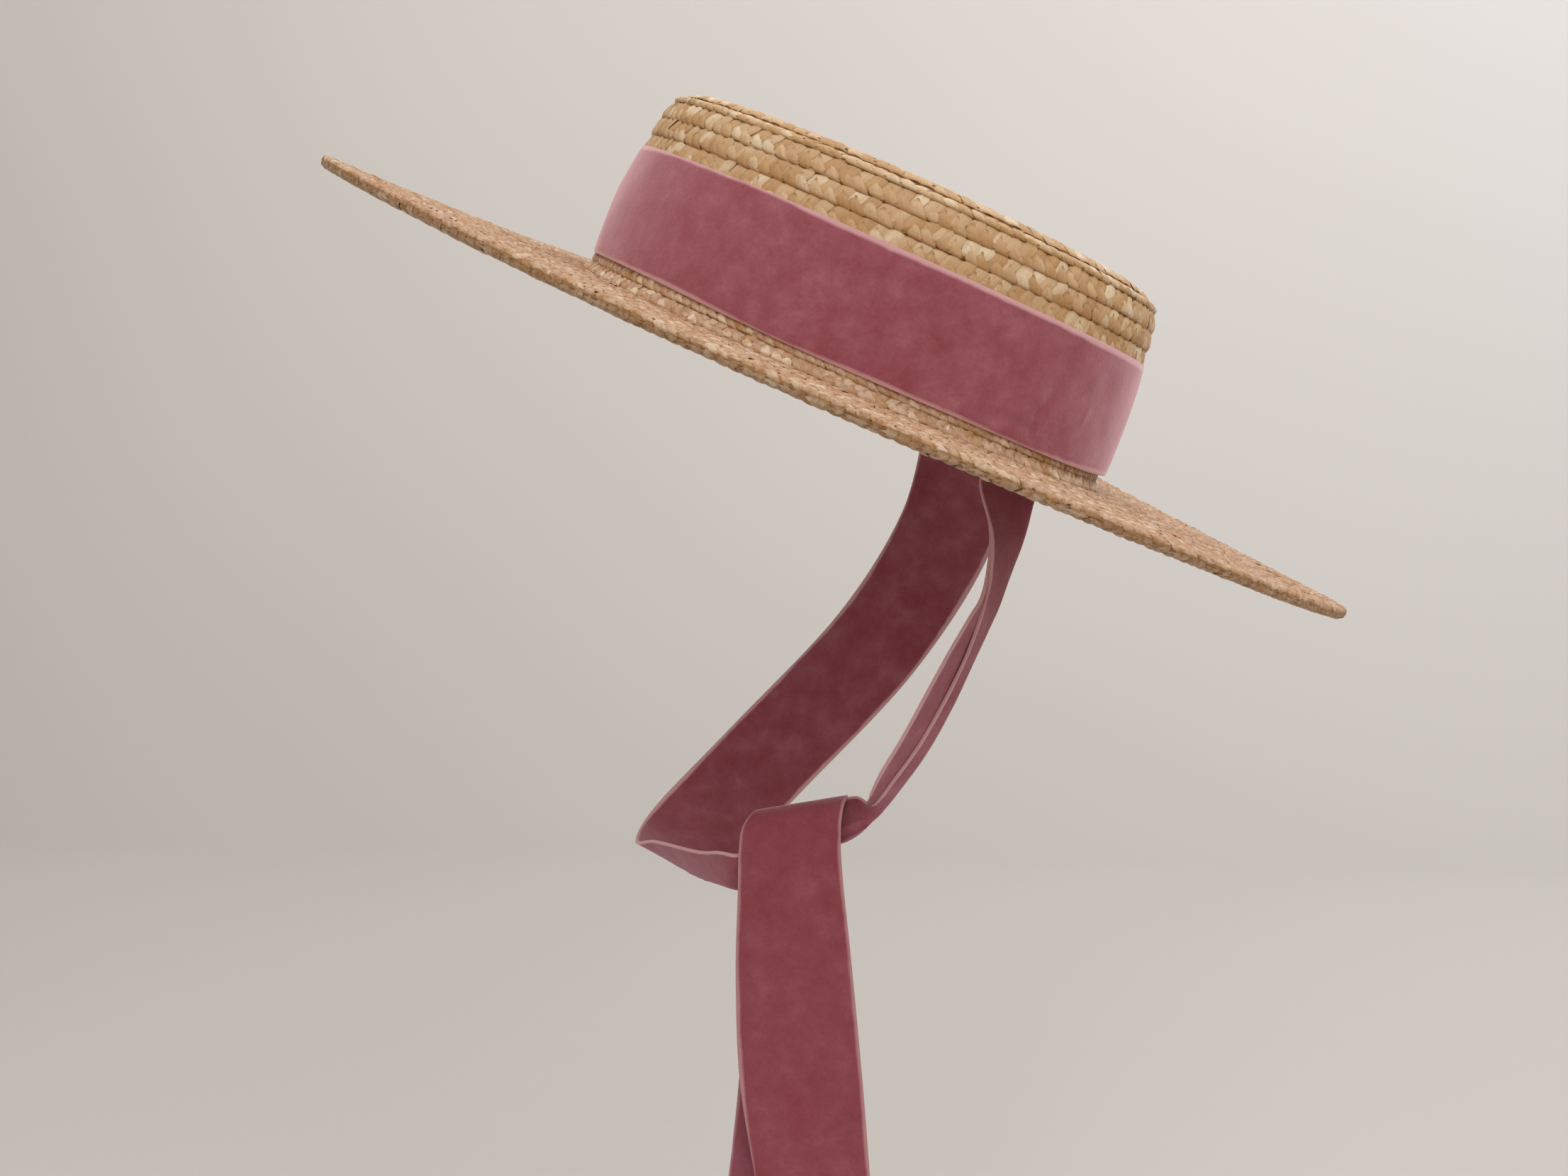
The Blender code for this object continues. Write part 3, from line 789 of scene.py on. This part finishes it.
def behind(rows, depth=0.3):
    """The profile of a set of rows, set back from their strands by a depth in mm."""
    out = []
    for row in rows:
        start, middle, end = (np.array(point) for point in row)
        for here, a, b in ((start, start, middle), (middle, start, end), (end, middle, end)):
            along = (b - a) / np.linalg.norm(b - a)
            out.append(tuple(here - np.array([-along[1], along[0]]) * depth))
    return out


class BOATER_OT_crown(bpy.types.Operator):
    """Sew the crown: strands outside and inside over a closed straw wall"""
    bl_idname = "boater.sew_crown"
    bl_label = "Sew Crown"

    def execute(self, context):
        tooth = plait_tooth()
        straw = straw_material("Wheat straw plait, crown", colours().straw,
                               contrast=0.75, gloss=0.44, specks=0.7)
        inside = straw_material("Wheat straw plait, inside", colours().straw,
                                contrast=0.6, gloss=0.42, specks=0.6)
        foot_straw = straw_material("Wheat straw plait, foot", colours().brim_straw,
                                    contrast=0.8, gloss=0.4, specks=1.2)
        tip, side, feet = crown_outer_rows()
        inner = crown_inner_rows()

        for name, rows, seed, finish, tooth_mm in (
                ("crown_side_plait", side, 100, straw, None),
                ("crown_foot_plait", feet, 150, foot_straw, FOOT_TOOTH),
                ("crown_tip_plait", tip, 200, straw, None),
                ("crown_inside_plait", inner, 300, inside, None)):
            laid = [lay_row(tooth, row, seed + k, False, tooth_mm) for k, row in enumerate(rows)]
            finish_piece(join(laid, name), finish, ["crown"])

        lip = in_mm(sizes().row_lip)
        foot = in_mm(sizes().band_foot)
        band_top = foot + in_mm(sizes().ribbon_width)
        under_band = [(side_radius(band_top - 3) - lip - 0.2, band_top - 3.0),
                      (side_radius(foot + 3) - lip - 0.2, foot + 3.0)]
        profile = behind(tip) + behind(side) + under_band + behind(feet) + behind(inner)
        profile[0] = (0.0, profile[0][1])
        profile[-1] = (0.0, profile[-1][1])
        # The wall's brown, seen between the strands, is painted shade
        shell = ground_shell("crown_wall", profile, False)
        finish_piece(shell, groove_material(), ["crown"])
        bpy.data.objects.remove(tooth)
        return {"FINISHED"}


class BOATER_OT_brim(bpy.types.Operator):
    """Sew the brim: strands above and below over a closed straw wall"""
    bl_idname = "boater.sew_brim"
    bl_label = "Sew Brim"

    def execute(self, context):
        tooth = plait_tooth()
        straw = straw_material("Wheat straw plait, brim", colours().brim_straw,
                               contrast=0.55, gloss=0.58, specks=1.4)
        upper, under = brim_rows()
        tops = [lay_row(tooth, row, 400 + k, True, BRIM_TOOTH, BRIM_RELIEF)
                for k, row in enumerate(upper[:-1])]
        tops.append(lay_row(tooth, upper[-1], 450, True, RIM_TOOTH, RIM_RELIEF))
        finish_piece(join(tops, "brim_top_plait"), straw, ["brim"])
        unders = [lay_row(tooth, under[0], 550, True, RIM_TOOTH)]
        unders += [lay_row(tooth, row, 500 + k, True) for k, row in enumerate(under[1:])]
        finish_piece(join(unders, "brim_under_plait"), straw, ["brim"])
        # The wall's brown, seen between the strands, is painted shade
        shell = ground_shell("brim_wall", behind(upper) + behind(under), True)
        finish_piece(shell, groove_material(), ["brim"])
        bpy.data.objects.remove(tooth)
        return {"FINISHED"}


# Ribbon

def spline_rows(rows, steps):
    """Rows of numbers with Catmull-Rom rows put in between."""
    table = np.array(rows, dtype=float)
    last = len(table) - 1
    out = []
    for i in range(last):
        a, b = table[max(i - 1, 0)], table[i]
        c, d = table[i + 1], table[min(i + 2, last)]
        for k in range(steps):
            t = k / steps
            out.append(0.5 * (2 * b + (c - a) * t + (2 * a - 5 * b + 4 * c - d) * t ** 2
                              + (3 * b - a - 3 * c + d) * t ** 3))
    out.append(table[-1])
    return np.array(out)


def resample(points, count):
    """A polyline's points at even distances along it."""
    steps = np.linalg.norm(np.diff(points, axis=0), axis=1)
    reach = np.concatenate([[0.0], np.cumsum(steps)])
    at = np.linspace(0.0, reach[-1], count)
    return np.stack([np.interp(at, reach, points[:, k]) for k in range(3)], -1)


def strap_sections(table, steps, count):
    """Points across a folded strap at each row, rounded at the fold."""
    rows = spline_rows(table, steps)
    sections = []
    for i, row in enumerate(rows):
        fold, near, far = row[:3], row[3:6], row[6:9]
        along = rows[min(i + 1, len(rows) - 1)][:3] - rows[max(i - 1, 0)][:3]
        side = np.cross(along, (near + far) / 2 - fold)
        side *= FOLD_GAP / np.linalg.norm(side)
        corners = np.array([near - side, fold - side, fold + side, far + side])
        points = resample(corners, count)
        for _ in range(2):
            points[1:-1] = points[1:-1] * 0.5 + (points[:-2] + points[2:]) * 0.25
        sections.append(points)
    return np.array(sections)


def tail_sections(table, steps, count):
    """Points across a hanging tail at each row, from its left to its right edge."""
    rows = spline_rows(table, steps)
    t = np.linspace(0.0, 1.0, count)
    sections = []
    for row in rows:
        points = row[:3] + (row[3:6] - row[:3]) * t[:, None]
        points[:, 1] -= row[6] * 4 * t * (1 - t)
        sections.append(points)
    return np.array(sections)


def ribbon_lengths(sections):
    """Distance along a ribbon's middle at each row, in mm."""
    middle = sections[:, sections.shape[1] // 2]
    return np.concatenate([[0.0], np.cumsum(np.linalg.norm(np.diff(middle, axis=0), axis=1))])


def section_normals(sections):
    """Unit normals of a grid of points."""
    down = np.gradient(sections, axis=0)
    over = np.gradient(sections, axis=1)
    normals = np.cross(over, down)
    return normals / np.maximum(np.linalg.norm(normals, axis=2), 1e-9)[..., None]


def press_creases(sections, creases):
    """Soft line-shaped creases and hollows pressed into a ribbon."""
    along = ribbon_lengths(sections)[:, None]
    width = in_mm(sizes().ribbon_width)
    across = np.linspace(0.0, 1.0, sections.shape[1])[None, :] * width
    offset = np.zeros(sections.shape[:2])
    for across_a, along_a, across_b, along_b, wide, deep in creases:
        a = np.array([across_a * width, along_a])
        b = np.array([across_b * width, along_b])
        run = b - a
        share = ((across - a[0]) * run[0] + (along - a[1]) * run[1]) / run.dot(run)
        share = np.clip(share, 0.0, 1.0)
        gap = np.hypot(across - a[0] - share * run[0], along - a[1] - share * run[1])
        offset += deep * np.exp(-(gap / wide) ** 2)
    return sections - section_normals(sections) * offset[..., None]


def ribbon_cloth(name, sections):
    """A velvet strip through the sections, thickened evenly, mapped across and along."""
    rows, count = sections.shape[:2]
    along = ribbon_lengths(sections) / in_mm(sizes().ribbon_width)
    mesh = bpy.data.meshes.new(name)
    faces = [(i * count + k, i * count + k + 1, (i + 1) * count + k + 1, (i + 1) * count + k)
             for i in range(rows - 1) for k in range(count - 1)]
    mesh.from_pydata((sections.reshape(-1, 3) * MM).tolist(), [], faces)
    layer = mesh.uv_layers.new(name="UVMap")
    for loop in mesh.loops:
        i, k = divmod(loop.vertex_index, count)
        layer.data[loop.index].uv = (k / (count - 1), along[i])
    obj = bpy.data.objects.new(name, mesh)
    bpy.context.collection.objects.link(obj)
    solid = obj.modifiers.new("pile", "SOLIDIFY")
    solid.thickness = sizes().ribbon_thickness
    solid.offset = 0.0
    solid.use_even_offset = True
    round_edge = obj.modifiers.new("rounded edges", "BEVEL")
    round_edge.width = 0.00028
    round_edge.segments = 2
    round_edge.limit_method = "ANGLE"
    round_edge.angle_limit = math.radians(50)
    apply_all(obj)
    return obj


def lay_ribbon(name, sections, velvet, nodes):
    piece = ribbon_cloth(name, sections)
    finish_piece(piece, velvet, nodes)


class BOATER_OT_band(bpy.types.Operator):
    """Stretch the velvet band round the crown"""
    bl_idname = "boater.stretch_band"
    bl_label = "Stretch Band"

    def execute(self, context):
        size = sizes()
        foot, width = in_mm(size.band_foot), in_mm(size.ribbon_width)
        half = in_mm(size.ribbon_thickness) / 2
        turns, count = 720, 31
        sections = []
        across = np.linspace(0.0, 1.0, count)
        for k in range(turns + 1):
            angle = math.tau * k / turns
            # the lower edge wanders by about a millimetre round the hat
            rise = 0.45 * math.sin(angle * 2 + 0.6) + 0.25 * math.sin(angle * 5 + 1.0)
            z = foot + rise * (1 - across) + width * across
            radius = np.array([side_radius(level) for level in z]) + 0.35 + half
            radius += 1.2 * np.sin(np.pi * across) ** 0.6 - 0.3
            # the lower edge stands off a little at the back
            radius += 1.8 * (1 - across) ** 2 * max(0.0, math.cos(angle)) ** 4
            radius += 0.12 * np.sin(angle * 9 + across * 2.0) + 0.08 * np.sin(angle * 17 - across * 5.0)
            sections.append(as_worn(radius, z, np.full(count, angle)) / MM)
        band = press_creases(np.array(sections), BAND_CREASES)
        lay_ribbon("velvet_band", band, velvet_material("band"), ["hat_band"])
        return {"FINISHED"}


class BOATER_OT_straps(bpy.types.Operator):
    """Fold the two chin straps"""
    bl_idname = "boater.fold_straps"
    bl_label = "Fold Straps"

    def execute(self, context):
        velvet = velvet_material("straps")
        near = press_creases(strap_sections(NEAR_STRAP, 10, 31), NEAR_CREASES)
        lay_ribbon("near_strap", near, velvet, ["near_chin_strap"])
        far = strap_sections(FAR_STRAP, 12, 25)
        lay_ribbon("far_strap", far, velvet, ["far_chin_strap"])
        return {"FINISHED"}


class BOATER_OT_tails(bpy.types.Operator):
    """Hang the front and the back tail of the tie"""
    bl_idname = "boater.hang_tails"
    bl_label = "Hang Tails"

    def execute(self, context):
        front = press_creases(tail_sections(FRONT_TAIL, 14, 25), FRONT_CREASES)
        lay_ribbon("front_tail_ribbon", front, velvet_material("front tail"),
                   ["front_tail"])
        back = press_creases(tail_sections(BACK_TAIL, 16, 25), BACK_CREASES)
        lay_ribbon("back_tail_ribbon", back, velvet_material("back tail"),
                   ["back_tail"])
        return {"FINISHED"}


class BOATER_OT_knot(bpy.types.Operator):
    """Gather the ribbon's crossing under the front tail"""
    bl_idname = "boater.gather_knot"
    bl_label = "Gather Knot"

    def execute(self, context):
        rows = spline_rows(KNOT, 6)
        deselect()
        bpy.ops.mesh.primitive_cylinder_add(vertices=48, radius=1.0, depth=1.0, end_fill_type="NGON")
        knot = bpy.context.object
        bpy.ops.object.mode_set(mode="EDIT")
        pick_edges(knot, lambda edge: abs(edge.verts[0].co.z - edge.verts[1].co.z) > 0.5)
        bpy.ops.mesh.subdivide(number_cuts=len(rows) - 2)
        bpy.ops.object.mode_set(mode="OBJECT")
        points = get_points(knot)
        where = (points[:, 2] + 0.5) * (len(rows) - 1)
        row = np.array([np.interp(where, range(len(rows)), rows[:, k]) for k in range(5)]).T
        angle = np.arctan2(points[:, 1], points[:, 0])
        # pleats of the gathered ribbon run along the knot
        pleat = 1.0 + 0.07 * np.sin(angle * 7 + where * 0.25)
        shaped = row[:, :3].copy()
        shaped[:, 1] += row[:, 3] * np.cos(angle) * pleat
        shaped[:, 2] += row[:, 4] * np.sin(angle) * pleat
        set_points(knot, shaped * MM)
        activate(knot)
        bpy.ops.object.mode_set(mode="EDIT")
        bpy.ops.mesh.select_all(action="SELECT")
        bpy.ops.mesh.normals_make_consistent(inside=False)
        bpy.ops.object.mode_set(mode="OBJECT")
        knot.name = "knot_gathers"
        finish_piece(knot, velvet_material("knot"), ["knot"])
        return {"FINISHED"}


# Stage

class BOATER_OT_stage(bpy.types.Operator):
    """Set the camera, the pale paper sweep and the soft lights"""
    bl_idname = "boater.set_stage"
    bl_label = "Set Stage"

    def execute(self, context):
        scene = context.scene
        lens = bpy.data.cameras.new("photo_camera")
        lens.sensor_width = 36.0
        lens.lens = lens.sensor_width * FOCAL_PX / PHOTO[0]
        camera = bpy.data.objects.new("photo_camera", lens)
        turn = Matrix((CAMERA_RIGHT, CAMERA_UP, -CAMERA_FORWARD)).transposed().to_4x4()
        camera.matrix_world = Matrix.Translation(CAMERA_AT) @ turn
        scene.collection.objects.link(camera)
        scene.camera = camera

        deselect()
        bpy.ops.mesh.primitive_plane_add(size=8.0, location=(0.0, -2.3, -0.75))
        sweep = context.object
        sweep.name = "paper_sweep"
        bpy.ops.object.mode_set(mode="EDIT")
        pick_edges(sweep, lambda edge: all(vert.co.y > 3.9 for vert in edge.verts))
        bpy.ops.mesh.extrude_region_move(TRANSFORM_OT_translate={"value": (0.0, 0.0, 5.0)})
        pick_edges(sweep, lambda edge: all(vert.co.y > 3.9 and vert.co.z < 0.1 for vert in edge.verts))
        bpy.ops.mesh.bevel(offset=0.5, segments=24)
        bpy.ops.object.mode_set(mode="OBJECT")
        bpy.ops.object.transform_apply(location=True, rotation=False, scale=False)
        bpy.ops.object.shade_smooth()
        sweep.data.materials.append(backdrop_material())

        for light in LIGHTS:
            self.soft_light(*light)
        world = bpy.data.worlds.new("soft_room")
        world.use_nodes = True
        tree = world.node_tree
        fill(tree, tree.nodes["Background"], Color=linear("E8E2DA"), Strength=0.6)
        scene.world = world
        scene.view_settings.view_transform = "Standard"
        return {"FINISHED"}

    def soft_light(self, name, place, target, size, watts, code):
        """A square soft light that faces a point."""
        data = bpy.data.lights.new(name, "AREA")
        data.size = size
        data.energy = watts
        data.color = linear(code)
        lamp = bpy.data.objects.new(name, data)
        lamp.location = place
        facing = Vector(target) - lamp.location
        lamp.rotation_euler = facing.to_track_quat("-Z", "Y").to_euler()
        bpy.context.scene.collection.objects.link(lamp)


class BOATER_PT_panel(bpy.types.Panel):
    """Lists the boater's makers, sizes and colours"""
    bl_idname = "BOATER_PT_panel"
    bl_label = "Straw Boater"
    bl_space_type = "VIEW_3D"
    bl_region_type = "UI"
    bl_category = "Boater"

    def draw(self, context):
        layout = self.layout
        for operator in MAKERS:
            layout.operator(operator.bl_idname)
        for group in (context.scene.boater_sizes, context.scene.boater_colours):
            box = layout.box()
            for name in group.__annotations__:
                box.prop(group, name)


MAKERS = (
    BOATER_OT_stage, BOATER_OT_crown, BOATER_OT_brim, BOATER_OT_band, BOATER_OT_knot,
    BOATER_OT_straps, BOATER_OT_tails,
)
CLASSES = (HatSizes, HatColours, *MAKERS, BOATER_PT_panel)


def register():
    """Add the classes and the scene's two groups of properties."""
    for cls in CLASSES:
        bpy.utils.register_class(cls)
    bpy.types.Scene.boater_sizes = PointerProperty(type=HatSizes)
    bpy.types.Scene.boater_colours = PointerProperty(type=HatColours)


def unregister():
    """Take the properties and the classes away again."""
    del bpy.types.Scene.boater_colours
    del bpy.types.Scene.boater_sizes
    for cls in reversed(CLASSES):
        bpy.utils.unregister_class(cls)


def main():
    """Make every piece in order."""
    register()
    bpy.ops.boater.set_stage()
    bpy.ops.boater.sew_crown()
    bpy.ops.boater.sew_brim()
    bpy.ops.boater.stretch_band()
    bpy.ops.boater.gather_knot()
    bpy.ops.boater.fold_straps()
    bpy.ops.boater.hang_tails()
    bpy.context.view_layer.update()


if __name__ == "__main__":
    main()
